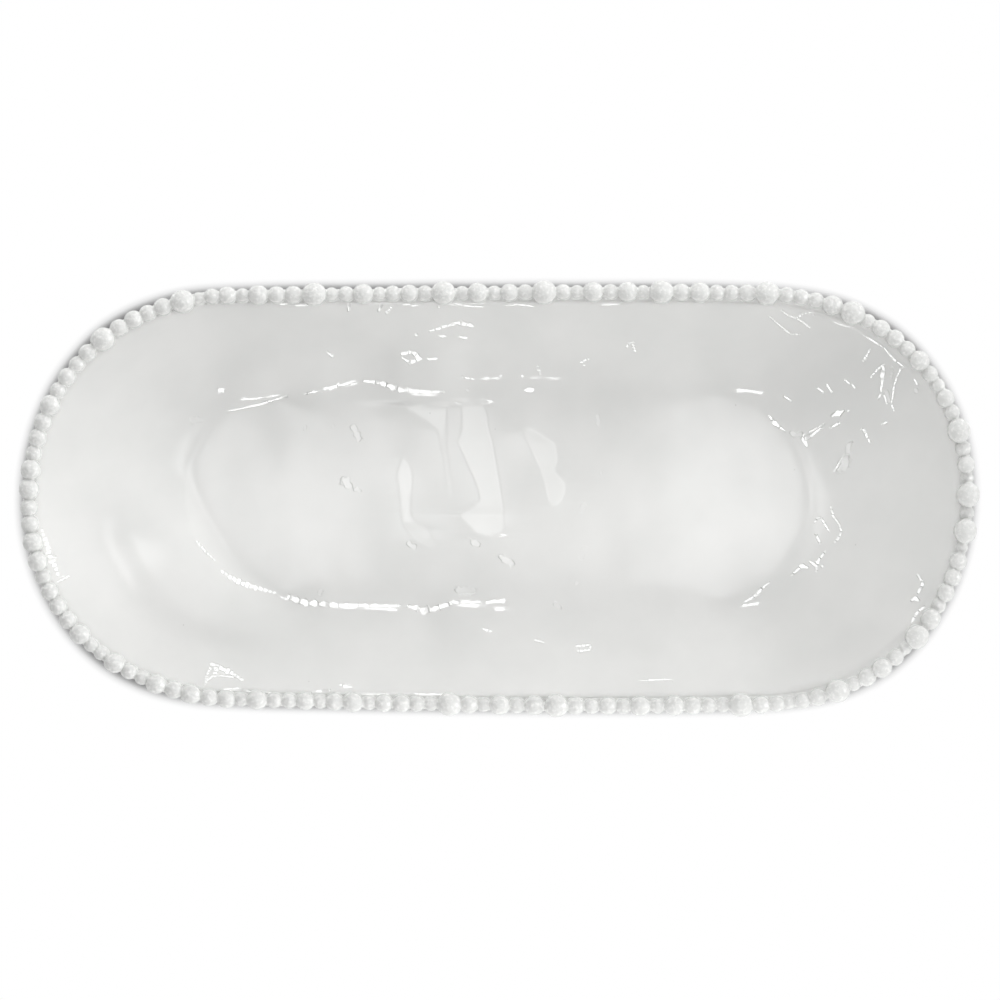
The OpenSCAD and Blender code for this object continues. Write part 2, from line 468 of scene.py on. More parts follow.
@dataclass(frozen=True)
class Floor:
    """A white floor with a painted soft shadow round the dish, an emission to the camera.

    The painted shadow is darkest where the dish shuts out the light from the floor next to it, as
    ambient occlusion finds it. Reach is how far round a place that is looked for. Towards the ends
    of the dish the painted shadow is lightened by up to ends_more, between the two x of ends.
    Beyond halo_out from a spine of half length spine_half, the floor is plain white. All lengths
    but half are in metres.
    """

    half: float = 4000.0
    reach: float = 0.031
    rays: int = 144
    ends: Point = (0.105, 0.185)
    ends_more: float = 0.13
    open_range: Point = (0.663, 0.785)
    tones: tuple = ((0.0, 0.16), (0.3, 0.38), (0.62, 0.8), (1.0, 1.0))
    spine_half: float = 0.1166
    halo_out: float = 0.12
    matt: float = 0.5

    def lay(self) -> None:
        """Lay the floor."""
        material = bpy.data.materials.new("floor")
        sheet = Sheet.on(material)
        near = sheet.add("ShaderNodeAmbientOcclusion", {"Distance": self.reach}, samples=self.rays)
        place = sheet.add("ShaderNodeTexCoord").outputs["Object"]
        spot = sheet.add("ShaderNodeSeparateXYZ", {0: place})
        along, across = sheet.math("ABSOLUTE", spot.outputs["X"]), spot.outputs["Y"]
        # Lightens the painted shadow towards the dish's ends, by place along x.
        far = sheet.rise(along, *self.ends, self.ends_more)
        light = sheet.math("SUBTRACT", near.outputs["AO"], far)
        shade = sheet.ramp(light, greys(*self.tones), *self.open_range)
        # Painted shadow: an emission whose colour the occlusion ramp darkens next to the dish.
        painted_shadow = sheet.add("ShaderNodeEmission", {"Color": shade})
        plain = sheet.add("ShaderNodeEmission")
        end = sheet.math("MAXIMUM", sheet.math("SUBTRACT", along, self.spine_half), 0.0)
        squares = sheet.math("POWER", end, 2.0), sheet.math("MULTIPLY", across, across)
        away = sheet.math("SQRT", sheet.math("ADD", *squares))
        glow = sheet.choose(sheet.math("GREATER_THAN", away, self.halo_out), painted_shadow, plain)
        matt = sheet.add("ShaderNodeBsdfDiffuse", {"Color": (*(self.matt,) * 3, 1.0)})
        path = sheet.add("ShaderNodeLightPath")
        seen = sheet.math("MAXIMUM", path.outputs["Is Camera Ray"], path.outputs["Is Glossy Ray"])
        seen = sheet.math("MAXIMUM", seen, path.outputs["Is Transmission Ray"])
        pick = sheet.choose(seen, matt, glow.node)
        sheet.add("ShaderNodeOutputMaterial", {"Surface": pick})
        side = self.half
        corners = [[-side, -side, 0], [side, -side, 0], [side, side, 0], [-side, side, 0]]
        make_object("floor", np.array(corners, float), [[0, 1, 2, 3]], material)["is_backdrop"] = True


@dataclass(frozen=True)
class Studio:
    """Camera, floor, sky and lamps of a table-top studio.

    The camera sees view by view spots, each scale millimetres wide, with the dish's middle at
    the spot that middle names. Other lengths are in millimetres.
    """

    view: float = 1000.0
    scale: float = 0.4398
    middle: Point = (499.2, 498.35)
    camera_up: float = 4000.0
    rim_up: float = 32.0
    sensor: float = 36.0
    sight: float = 100.0
    key_up: float = 1000.0
    key_size: Point = (680.0, 480.0)
    key_shine: float = 2.3
    key_fade: float = 0.36
    key_shade: tuple = ((0.25, 1.0), (0.335, 0.5), (0.404, 0.1), (0.468, 0.0), (0.532, 0.0),
                        (0.6, 0.3), (0.67, 0.7), (0.74, 1.0))
    key_spots: tuple = ((Lamp.KEY, 190.0), (Lamp.FAINT, 80.0))
    key_follow: float = 0.4
    strip_up: float = 900.0
    strip_out: float = 420.0
    strip_x: Point = (-80.0, 3.0)
    strip_wide: float = 54.0
    strip_shine: float = 10.0
    strip_turn: float = 25.0
    strip_inset: float = 25.0
    strip_follow: float = 1.2
    panels: tuple[Panel, ...] = (
        Panel("window", (790.0, 960.0), (505.0, 140.0, 860.0), 0.3, (-8.0, 30.0, 0.0), (0.42,) * 4),
        Panel("side", (320.0, 520.0), (1400.0, 0.0, 460.0), 7.0, (0.0, 72.0, 0.0)),
        Panel("front", (660.0, 160.0), (70.0, -440.0, 210.0), 6.6, (66.0, 0.0, 0.0),
              (0.3, 0.3, 0.4, 0.4), mirrored=False),
        Panel("back", (1120.0, 160.0), (-30.0, 500.0, 220.0), 4.6, (-66.0, 0.0, 0.0),
              (0.12, 0.12, 0.4, 0.4), mirrored=False),
        Panel("left", (240.0, 400.0), (-620.0, 0.0, 160.0), 0.9, (0.0, -75.0, 0.0),
              mirrored=False),
    )

    def target(self, lamp: Lamp, x: Array, y: Array) -> Array:
        """Find the points of a lamp that marks face.

        Args:
            lamp: the lamp.
            x: places of the marks along the dish.
            y: their places across it.

        Returns:
            A point of the lamp for each place.
        """
        if lamp in (Lamp.KEY, Lamp.FAINT):
            spot = np.full_like(x, dict(self.key_spots)[lamp])
            return np.stack([spot, y * self.key_follow, np.full_like(x, self.key_up)], axis=1)
        out = self.strip_out if lamp is Lamp.NORTH else -self.strip_out
        low, high = self.strip_x
        along = np.clip(x * self.strip_follow, low + self.strip_inset, high - self.strip_inset)
        return np.stack([along, np.full_like(x, out), np.full_like(x, self.strip_up)], axis=1)

    def slope_facing(self, lamp: Lamp, spots: Array) -> Array:
        """Find the slopes of a surface that mirror a lamp to someone above the dish.

        Args:
            lamp: the lamp.
            spots: x, y and height of each place.

        Returns:
            Rise of the surface along x and along y at each place.
        """
        up = np.array([0.0, 0.0, self.camera_up]) - spots
        to = self.target(lamp, spots[:, 0], spots[:, 1]) - spots
        normal = sum(way / np.linalg.norm(way, axis=1)[:, None] for way in (up, to))
        return -normal[:, :2] / normal[:, 2:]

    def camera(self) -> None:
        """Set up the camera, straight above the dish, with a long lens."""
        data = bpy.data.cameras.new("camera")
        data.sensor_width = self.sensor
        data.lens = self.sensor * self.camera_up / (self.view * self.scale)
        data.clip_end = self.sight
        cam = bpy.data.objects.new("camera", data)
        x = (self.view / 2 - self.middle[0]) * self.scale
        y = (self.middle[1] - self.view / 2) * self.scale
        cam.location = (x * MM, y * MM, (self.camera_up + self.rim_up) * MM)
        bpy.context.scene.collection.objects.link(cam)
        bpy.context.scene.camera = cam

    def lamps(self) -> None:
        """Hang every lamp."""
        Panel("key", self.key_size, (0.0, 0.0, self.key_up), self.key_shine,
              fade=(self.key_fade,) * 4, shade=self.key_shade).hang()
        for panel in self.panels:
            panel.hang()
        low, high = self.strip_x
        for name, side in (("north_strip", 1.0), ("south_strip", -1.0)):
            Panel(name, (high - low, self.strip_wide),
                  ((low + high) / 2, side * self.strip_out, self.strip_up),
                  self.strip_shine, (-side * self.strip_turn, 0.0, 0.0)).hang()

    def build(self) -> None:
        """Set up the whole studio."""
        self.camera()
        Sky().spread()
        Floor().lay()
        self.lamps()
        bpy.context.scene.view_settings.view_transform = "Standard"


@dataclass(frozen=True)
class Glaze:
    """A glossy white glaze over clay, thinner and thicker in patches, with tiny pinholes.

    Patch and ripple are the sizes of its patches and of its low lumps, in metres. Small pale
    patches, as on the beads, are partly mottled glaze and partly painted glints.
    """

    name: str = "white_glaze"
    light: Spot = (0.805, 0.805, 0.79)
    deep: Spot = (0.762, 0.765, 0.75)
    pinhole: Spot = (0.42, 0.42, 0.40)
    pinhole_share: float = 0.8
    pinhole_size: Point = (0.008, 0.024)
    pinholes: float = 75.0
    roughness: float = 0.045
    rough_spread: Point = (0.7, 1.3)
    rough_share: Point = (0.3, 0.7)
    index: float = 1.5
    patch: float = 0.035
    patch_detail: float = 3.0
    patch_share: Point = (0.35, 0.65)
    ripple: float = 0.012
    ripple_detail: float = 1.0
    ripple_depth: float = 0.0003
    ripple_share: float = 0.25

    def build(self) -> bpy.types.Material:
        """Make the material.

        Returns:
            The glaze.
        """
        material = bpy.data.materials.new(self.name)
        sheet = Sheet.on(material)
        place = sheet.add("ShaderNodeTexCoord").outputs["Object"]
        patches = sheet.add("ShaderNodeTexNoise", {
            "Vector": place, "Scale": 1.0 / self.patch, "Detail": self.patch_detail}).outputs["Fac"]
        tone = sheet.ramp(patches, ((0.0, self.deep), (1.0, self.light)), *self.patch_share)
        specks = sheet.add("ShaderNodeTexVoronoi", {"Vector": place, "Scale": self.pinholes})
        hole = sheet.ramp(specks.outputs["Distance"],
                          greys((0.0, self.pinhole_share), (1.0, 0.0)), *self.pinhole_size)
        colour = sheet.add("ShaderNodeMix", {"Factor": hole, "A": tone, "B": (*self.pinhole, 1.0)},
                           data_type="RGBA")
        skin = sheet.add("ShaderNodeTexNoise", {
            "Vector": place, "Scale": 1.0 / self.ripple, "Detail": self.ripple_detail})
        bump = sheet.add("ShaderNodeBump", {
            "Strength": self.ripple_share, "Distance": self.ripple_depth,
            "Height": skin.outputs["Fac"]})
        low, high = (self.roughness * share for share in self.rough_spread)
        rough = sheet.ramp(patches, greys((0.0, low), (1.0, high)), *self.rough_share)
        coat = sheet.add("ShaderNodeBsdfPrincipled", {
            "Base Color": colour.outputs["Result"], "Roughness": rough, "IOR": self.index,
            "Normal": bump.outputs["Normal"]})
        sheet.add("ShaderNodeOutputMaterial", {"Surface": coat.outputs[0]})
        return material


@dataclass(frozen=True)
class BareClay:
    """Fired clay without glaze, fine and dry, with small dark grains."""

    name: str = "bare_clay"
    light: Spot = (0.74, 0.70, 0.64)
    dark: Spot = (0.60, 0.55, 0.48)
    dark_share: Point = (0.3, 0.55)
    grains: float = 900.0
    grain_detail: float = 6.0
    grain_depth: float = 0.0002
    grain_share: float = 0.4
    roughness: float = 0.85

    def build(self) -> bpy.types.Material:
        """Make the material.

        Returns:
            The bare clay.
        """
        material = bpy.data.materials.new(self.name)
        sheet = Sheet.on(material)
        place = sheet.add("ShaderNodeTexCoord").outputs["Object"]
        grain = sheet.add("ShaderNodeTexNoise", {
            "Vector": place, "Scale": self.grains, "Detail": self.grain_detail}).outputs["Fac"]
        tone = sheet.ramp(grain, ((0.0, self.dark), (1.0, self.light)), *self.dark_share)
        bump = sheet.add("ShaderNodeBump", {
            "Strength": self.grain_share, "Distance": self.grain_depth, "Height": grain})
        clay = sheet.add("ShaderNodeBsdfPrincipled", {
            "Base Color": tone, "Normal": bump.outputs["Normal"], "Roughness": self.roughness})
        sheet.add("ShaderNodeOutputMaterial", {"Surface": clay.outputs[0]})
        return material


@dataclass(frozen=True)
class Mark:
    """A crease or dab in the soft clay, turned so that its glaze faces a lamp.

    Its rows hold x, y and the half width there, in millimetres. Where its surface runs away from
    the clay round it, it starts again after each step along its path, or never where step is 0.
    """

    lamp: Lamp
    step: float
    rows: tuple
    spacing: float = 0.25
    points_least: int = 4

    def trail(self) -> Array:
        """Follow the mark from its first row to its last.

        Returns:
            x, y, half width and run along the mark, of close-set points on it.
        """
        rows = np.array(self.rows, float)
        if len(rows) == 1:
            return np.column_stack([rows, [0.0]])
        run = np.concatenate([[0], np.cumsum(np.hypot(*np.diff(rows[:, :2], axis=0).T))])
        count = max(self.points_least, int(run[-1] / self.spacing))
        steps = np.linspace(0, run[-1], count)
        return np.column_stack([np.interp(steps, run, column) for column in rows.T] + [steps])


@dataclass(frozen=True)
class Ribbon:
    """A long shallow press of the fingers, which slopes down to the left across its width.

    Its rows hold x, y and the half width there. Fall is its slope, settle how far beside it the
    clay is pushed, and soft and end how softly its sides and ends begin.
    """

    rows: tuple
    fall: float = 0.105
    settle: float = 9.0
    soft: float = 0.3
    end: float = 1.5

    def press(self, x: Array, y: Array) -> Array:
        """Find how much the ribbon raises or lowers the clay.

        Args:
            x: places along the dish.
            y: places across it.

        Returns:
            The rise at each place.
        """
        rows = np.array(self.rows)
        xs, ys, wide = rows[np.argsort(rows[:, 1])].T
        s, half = x - np.interp(y, ys, xs), np.interp(y, ys, wide)
        rise = np.logaddexp(0, (s + half) / self.soft) - np.logaddexp(0, (s - half) / self.soft)
        inside = self.soft * rise - half
        outside = np.exp(-np.maximum(np.abs(s) - half, 0) / self.settle)
        low, high = (ease(y, end - self.end, end + self.end) for end in (ys[0], ys[-1]))
        return -self.fall * inside * outside * (low * (1 - high))


KEY, FAINT, NORTH, SOUTH = Lamp

MARKS: tuple[Mark, ...] = tuple(Mark(lamp, step, rows) for lamp, step, *rows in (
    (SOUTH, 9, (-119.6, 38.7, 0.4), (-106.8, 41.3, 0.59), (-93.9, 45.3, 0.44)),
    (SOUTH, 9, (-86.0, 46.2, 0.44), (-74.9, 48.8, 0.95), (-63.8, 51.9, 0.75)),
    (SOUTH, 9, (-59.8, 51.9, 0.66), (-52.3, 51.0, 1.03), (-43.9, 48.0, 1.12), (-33.3, 47.1, 0.95),
     (-24.9, 47.1, 0.57)),
    (SOUTH, 9, (-16.5, 53.7, 0.53), (-11.6, 52.8, 0.53)),
    (SOUTH, 0, (0.8, 54.1, 0.64)),
    (SOUTH, 0, (10.5, 54.1, 0.64)),
    (SOUTH, 0, (17.2, 58.1, 0.59), (18.0, 55.0, 0.53)),
    (NORTH, 6, (-133.8, -18.9, 0.48), (-129.8, -23.7, 0.59), (-125.8, -27.3, 0.4)),
    (NORTH, 9, (-122.7, -32.2, 0.66), (-116.9, -36.1, 1.12), (-110.3, -38.8, 1.21),
     (-99.2, -41.9, 0.48)),
    (NORTH, 12, (-93.0, -43.7, 1.1), (-86.0, -46.3, 1.39), (-70.5, -47.2, 0.95),
     (-43.9, -47.6, 0.75)),
    (NORTH, 12, (-40.4, -47.6, 0.66), (-32.8, -49.8, 1.47), (-26.2, -48.1, 1.12),
     (-19.6, -45.9, 0.77), (-8.1, -45.9, 0.57)),
    (NORTH, 9, (-5.4, -45.9, 0.77), (1.7, -45.4, 1.03)),
    (NORTH, 9, (-201.3, -13.5, 0.4), (-199.4, -20.1, 1.12), (-197.0, -27.1, 1.65),
     (-194.1, -33.7, 0.7)),
    (NORTH, 0, (-192.4, -34.6, 0.68)),
    (NORTH, 4, (-130.4, -83.5, 0.48), (-128.7, -77.8, 0.53), (-126.6, -73.5, 0.66)),
    (NORTH, 5, (-126.6, -73.0, 1.01), (-119.6, -76.1, 1.12), (-112.9, -80.0, 0.57)),
    (NORTH, 9, (-119.8, -84.4, 0.53), (-109.7, -84.4, 0.53)),
    (NORTH, 6, (-70.1, -82.1, 0.68), (-66.1, -82.1, 0.53)),
    (SOUTH, 5, (-76.1, 64.7, 0.53), (-73.9, 62.9, 0.64)),
    (SOUTH, 4, (-42.9, 63.8, 0.75), (-38.5, 64.7, 0.86), (-35.0, 62.0, 1.03), (-39.4, 59.8, 0.77),
     (-42.5, 62.0, 0.57)),
    (SOUTH, 5, (-31.0, 61.6, 0.77), (-27.9, 61.6, 0.68)),
    (SOUTH, 6, (-30.5, 73.8, 0.48), (-26.1, 75.1, 0.68), (-20.8, 76.8, 0.86), (-16.4, 77.3, 1.12),
     (-12.0, 76.0, 0.84)),
    (SOUTH, 5, (-26.1, 71.6, 0.73), (-23.9, 71.6, 0.59)),
    (SOUTH, 5, (-17.3, 71.2, 0.59), (-14.7, 70.8, 0.68)),
    (SOUTH, 0, (-36.7, 72.1, 0.81)),
    (SOUTH, 0, (37.5, 59.0, 0.64)),
    (SOUTH, 2, (56.4, 66.8, 0.44), (57.3, 68.6, 0.64), (59.5, 69.0, 0.44)),
    (SOUTH, 2, (59.1, 67.7, 0.53), (60.0, 65.1, 0.53)),
    (NORTH, 0, (-5.4, -58.2, 0.77)),
    (NORTH, 0, (17.6, -62.6, 0.68)),
    (NORTH, 4, (33.9, -65.2, 0.48), (40.1, -64.8, 0.68), (40.5, -66.9, 0.53), (34.8, -67.4, 0.75)),
    (NORTH, 0, (25.6, -47.2, 0.53)),
    (KEY, 0, (-64.7, 31.6, 1.14), (-62.1, 26.7, 1.23)),
    (KEY, 0, (-68.2, 7.7, 2.02), (-66.0, 5.0, 1.32)),
    (KEY, 0, (-63.4, 4.1, 0.88), (-61.6, 3.3, 0.7)),
    (FAINT, 0, (-73.6, 32.0, 0.84)),
    (FAINT, 0, (-86.0, 31.6, 0.7), (-86.0, 30.3, 0.7)),
    (FAINT, 0, (-135.9, 34.7, 1.41), (-132.0, 34.7, 0.97)),
    (KEY, 0, (-39.9, -20.2, 1.14), (-37.7, -21.5, 1.06)),
    (KEY, 0, (-11.6, -19.8, 0.97), (-9.4, -19.8, 0.62)),
    (KEY, 0, (1.2, -26.4, 0.79), (4.3, -28.2, 0.66)),
    (FAINT, 0, (37.1, -3.4, 1.32), (37.1, -5.6, 1.06)),
    (FAINT, 0, (37.5, -22.0, 1.23), (36.6, -26.4, 0.97)),
    (KEY, 0, (34.4, -37.9, 0.97)),
    (KEY, 0, (-14.3, 48.0, 0.88)),
    (SOUTH, 0, (11.9, 48.0, 1.21), (14.5, 48.0, 1.03)),
    (KEY, 0, (43.7, 36.0, 1.06), (43.7, 33.4, 0.88)),
    (KEY, 0, (45.1, 11.7, 0.66), (45.1, 10.8, 0.62)),
    (FAINT, 0, (-79.3, -41.4, 1.06)),
    (FAINT, 0, (-18.2, -40.6, 1.32), (-12.0, -41.0, 1.41)),
    (SOUTH, 9, (119.0, 80.1, 0.4), (126.4, 73.9, 0.55), (128.6, 72.4, 0.53), (132.3, 72.4, 0.4)),
    (SOUTH, 9, (124.4, 82.6, 0.4), (127.4, 80.4, 0.53), (131.1, 79.2, 0.53), (134.0, 77.5, 0.59),
     (136.6, 75.3, 0.4)),
    (SOUTH, 9, (131.2, 79.5, 0.4), (133.8, 81.4, 0.53), (137.7, 81.8, 0.53), (138.6, 80.3, 0.4)),
    (SOUTH, 9, (163.3, 65.7, 0.4), (161.9, 62.8, 0.53), (160.5, 60.6, 0.53)),
    (SOUTH, 9, (163.8, 53.3, 0.4), (166.7, 56.9, 0.53), (168.8, 58.6, 0.48)),
    (SOUTH, 9, (169.2, 58.7, 0.62), (169.0, 54.4, 1.17), (168.6, 50.0, 0.64), (168.3, 46.3, 0.53),
     (167.2, 44.1, 0.53)),
    (KEY, 9, (173.2, 57.3, 0.88), (172.5, 52.9, 0.53)),
    (SOUTH, 9, (177.2, 57.9, 0.62), (175.4, 54.3, 0.53), (174.0, 49.9, 0.55), (173.4, 44.8, 0.59),
     (172.9, 41.9, 0.53), (174.0, 38.6, 0.4)),
    (KEY, 0, (170.7, 47.3, 0.75), (170.9, 45.1, 1.14), (171.6, 42.9, 0.79)),
    (SOUTH, 9, (169.8, 45.1, 0.53), (170.8, 41.9, 0.53)),
    (SOUTH, 9, (182.6, 52.4, 0.53), (183.9, 50.3, 0.53)),
    (KEY, 0, (183.5, 47.5, 1.06)),
    (SOUTH, 9, (152.6, 52.2, 0.53), (154.5, 50.8, 0.53)),
    (SOUTH, 0, (155.9, 50.0, 0.53), (157.0, 48.9, 0.53)),
    (SOUTH, 9, (144.7, 50.1, 0.53), (146.9, 47.1, 0.53)),
    (SOUTH, 9, (140.7, 48.6, 0.55), (143.2, 46.8, 0.53)),
    (SOUTH, 9, (126.1, 45.0, 0.53), (129.0, 43.2, 0.53)),
    (SOUTH, 9, (119.1, 36.9, 0.4), (122.4, 32.8, 0.9), (126.5, 29.9, 0.44)),
    (KEY, 0, (129.6, 28.5, 1.06), (132.7, 28.3, 1.14)),
    (SOUTH, 0, (134.5, 26.4, 1.08), (136.1, 23.2, 0.64)),
    (SOUTH, 9, (135.8, 26.3, 1.01), (138.3, 27.7, 0.73), (141.2, 30.2, 0.55), (144.1, 32.8, 0.4)),
    (SOUTH, 9, (134.2, 27.8, 0.4), (138.8, 30.0, 0.53), (143.6, 32.9, 0.4)),
    (SOUTH, 0, (147.0, 36.4, 0.44), (149.5, 37.5, 1.3), (152.0, 38.6, 0.57)),
    (SOUTH, 0, (154.2, 38.7, 0.59)),
    (SOUTH, 9, (146.6, 31.3, 0.53), (150.3, 33.2, 0.68)),
    (SOUTH, 9, (160.3, 30.6, 0.57), (161.6, 29.7, 0.81), (162.7, 26.5, 0.64), (164.1, 24.3, 0.4)),
    (SOUTH, 9, (169.1, 32.7, 0.53), (171.3, 33.8, 0.53)),
    (KEY, 0, (155.8, 25.0, 0.4), (154.3, 22.8, 1.14), (154.3, 20.0, 0.79)),
    (KEY, 0, (154.0, 18.3, 0.97), (152.6, 15.5, 2.02), (150.4, 12.5, 0.97)),
    (SOUTH, 9, (150.9, 17.0, 0.4), (149.8, 14.3, 0.53), (148.3, 12.1, 0.4)),
    (NORTH, 9, (146.7, -3.7, 0.4), (147.8, -8.1, 0.53), (150.4, -11.4, 0.53), (151.3, -14.7, 0.53),
     (150.0, -17.7, 0.53), (148.2, -19.5, 0.4)),
    (NORTH, 9, (139.6, -10.7, 0.4), (140.9, -8.5, 0.53), (142.3, -8.5, 0.53), (143.8, -11.0, 0.53),
     (146.0, -14.6, 0.4)),
    (NORTH, 9, (140.1, -15.9, 0.53), (141.9, -19.8, 0.53)),
    (NORTH, 9, (144.1, -23.6, 0.4), (141.2, -27.6, 0.55), (140.1, -29.1, 1.03),
     (140.4, -32.4, 0.4)),
    (NORTH, 9, (137.5, -28.0, 0.53), (140.1, -29.8, 0.73)),
    (NORTH, 9, (129.4, -33.9, 0.4), (132.4, -31.4, 0.68), (133.9, -30.0, 1.06)),
    (NORTH, 9, (133.9, -30.0, 1.08), (136.4, -30.6, 0.53)),
    (NORTH, 0, (143.0, -29.9, 0.77)),
    (NORTH, 9, (109.1, -45.7, 0.57), (114.0, -42.4, 0.73), (116.5, -39.5, 0.64),
     (119.5, -37.2, 0.4)),
    (NORTH, 9, (184.3, -33.8, 0.44), (186.4, -36.7, 0.64), (185.6, -39.6, 0.81),
     (184.5, -41.5, 0.53)),
    (NORTH, 0, (181.6, -44.8, 0.53), (183.4, -44.0, 0.86), (184.7, -45.0, 0.53)),
    (NORTH, 9, (181.5, -55.0, 0.44), (183.0, -51.3, 0.64), (187.0, -47.7, 0.44)),
    (SOUTH, 0, (-66.1, 85.3, 0.55), (-66.3, 82.7, 0.53)),
    (SOUTH, 0, (-52.0, 84.8, 0.53), (-53.0, 82.6, 0.55)),
    (SOUTH, 0, (-96.5, 85.4, 0.53), (-93.8, 85.4, 0.53)),
    (SOUTH, 9, (-89.4, 84.8, 0.53), (-83.7, 84.9, 0.53)),
    (SOUTH, 9, (-41.9, 85.3, 0.53), (-39.2, 85.3, 0.53)),
    (SOUTH, 0, (-26.6, 85.5, 0.53), (-26.6, 84.2, 0.53)),
    (SOUTH, 9, (-22.1, 85.3, 0.4), (-16.4, 85.0, 0.53), (-11.5, 84.5, 0.4)),
    (SOUTH, 9, (3.4, 85.3, 0.4), (9.2, 85.3, 0.53), (14.4, 84.9, 0.4)),
    (SOUTH, 9, (45.2, 85.1, 0.44), (48.8, 85.3, 0.59), (52.7, 85.4, 0.4)),
    (SOUTH, 9, (147.1, 77.8, 0.4), (150.5, 76.3, 0.53), (154.4, 75.4, 0.4)),
    (SOUTH, 9, (160.2, 71.9, 0.4), (164.5, 69.3, 0.53), (168.4, 66.8, 0.4)),
    (SOUTH, 9, (169.5, 66.1, 0.4), (172.8, 62.0, 0.55), (177.9, 57.9, 0.4)),
    (NORTH, 9, (62.0, -80.2, 0.4), (68.6, -80.0, 0.53), (76.1, -79.7, 0.4)),
    (NORTH, 9, (-193.9, -36.6, 0.53), (-189.8, -34.2, 0.53)),
    (NORTH, 4, (-129.9, -83.0, 0.57), (-128.9, -80.2, 0.66), (-126.1, -78.3, 0.53),
     (-122.6, -78.1, 0.53), (-117.3, -78.7, 0.53)),
    (NORTH, 2, (-125.8, -73.5, 0.97), (-124.8, -75.7, 1.06), (-125.2, -78.3, 0.88)),
    (NORTH, 9, (-121.6, -83.9, 0.53), (-115.0, -83.7, 0.57), (-108.8, -85.2, 0.48)),
    (NORTH, 9, (-104.4, -84.8, 0.44), (-98.2, -86.1, 0.62), (-90.3, -86.5, 0.44)),
    (NORTH, 9, (-82.8, -85.4, 0.44), (-78.9, -84.8, 0.7), (-74.9, -84.1, 0.66)),
    (NORTH, 9, (-67.9, -82.8, 0.97), (-65.2, -83.0, 0.53)),
    (NORTH, 9, (-60.4, -86.1, 0.44), (-54.7, -86.2, 0.57), (-48.9, -86.1, 0.44)),
    (NORTH, 9, (-36.6, -86.2, 0.53), (-30.4, -86.4, 0.66), (-25.2, -86.1, 0.53)),
    (SOUTH, 9, (-49.4, 81.8, 0.7), (-47.6, 84.0, 0.53)),
    (SOUTH, 9, (-38.4, 84.7, 0.48), (-35.7, 84.8, 0.48)),
    (SOUTH, 9, (-19.4, 85.6, 0.44), (-13.7, 84.6, 0.66), (-7.6, 84.3, 0.48)),
    (SOUTH, 9, (3.0, 84.9, 0.44), (8.3, 85.3, 0.57), (14.9, 84.5, 0.44)),
    (KEY, 0, (0.8, -26.4, 1.1), (3.5, -27.3, 1.54), (5.7, -29.1, 1.1)),
    (KEY, 0, (-11.6, -18.9, 1.14), (-9.4, -20.6, 1.14)),
    (NORTH, 2, (-6.7, -57.8, 0.7), (-4.1, -58.6, 0.79)),
    (NORTH, 2, (16.3, -62.6, 0.75), (19.3, -63.5, 0.62)),
    (SOUTH, 2, (36.6, 60.3, 0.7), (39.2, 61.6, 0.57)),
    (KEY, 0, (25.1, -46.8, 0.97), (26.5, -48.1, 0.88)),
))

RIBBONS: tuple[Ribbon, ...] = tuple(Ribbon(rows) for rows in (
    ((-41.9, 17.9, 0.7), (-41.9, 13.4, 2.9), (-41.9, 9.0, 3.7), (-41.5, 4.6, 2.9),
     (-41.5, -0.7, 2.0), (-41.3, -6.0, 2.2)),
    ((-41.3, -6.5, 1.8), (-40.1, -10.5, 2.9), (-36.4, -14.0, 4.8), (-33.1, -18.4, 4.2),
     (-29.5, -21.5, 2.0)),
    ((-32.8, 41.8, 9.7), (-31.3, 38.2, 8.1), (-27.8, 34.2, 4.6), (-25.5, 30.3, 2.0),
     (-23.8, 19.2, 1.1), (-21.4, 1.0, 0.8)),
    ((-12.5, 43.1, 4.4), (-11.0, 36.9, 5.6), (-10.5, 30.3, 5.9), (-10.7, 24.9, 7.9),
     (-7.5, 14.8, 6.3), (-4.5, 4.6, 4.8), (-3.6, -0.7, 4.8), (-4.7, -3.8, 6.4), (-7.9, -7.4, 9.8),
     (-5.4, -12.7, 7.5), (-4.7, -16.7, 4.6)),
    ((12.5, 30.7, 2.4), (18.7, 24.5, 5.9), (21.2, 17.0, 4.8), (21.2, 12.5, 2.6), (24.7, 6.8, 4.4),
     (25.1, 2.8, 4.0), (24.7, -2.5, 2.2)),
))


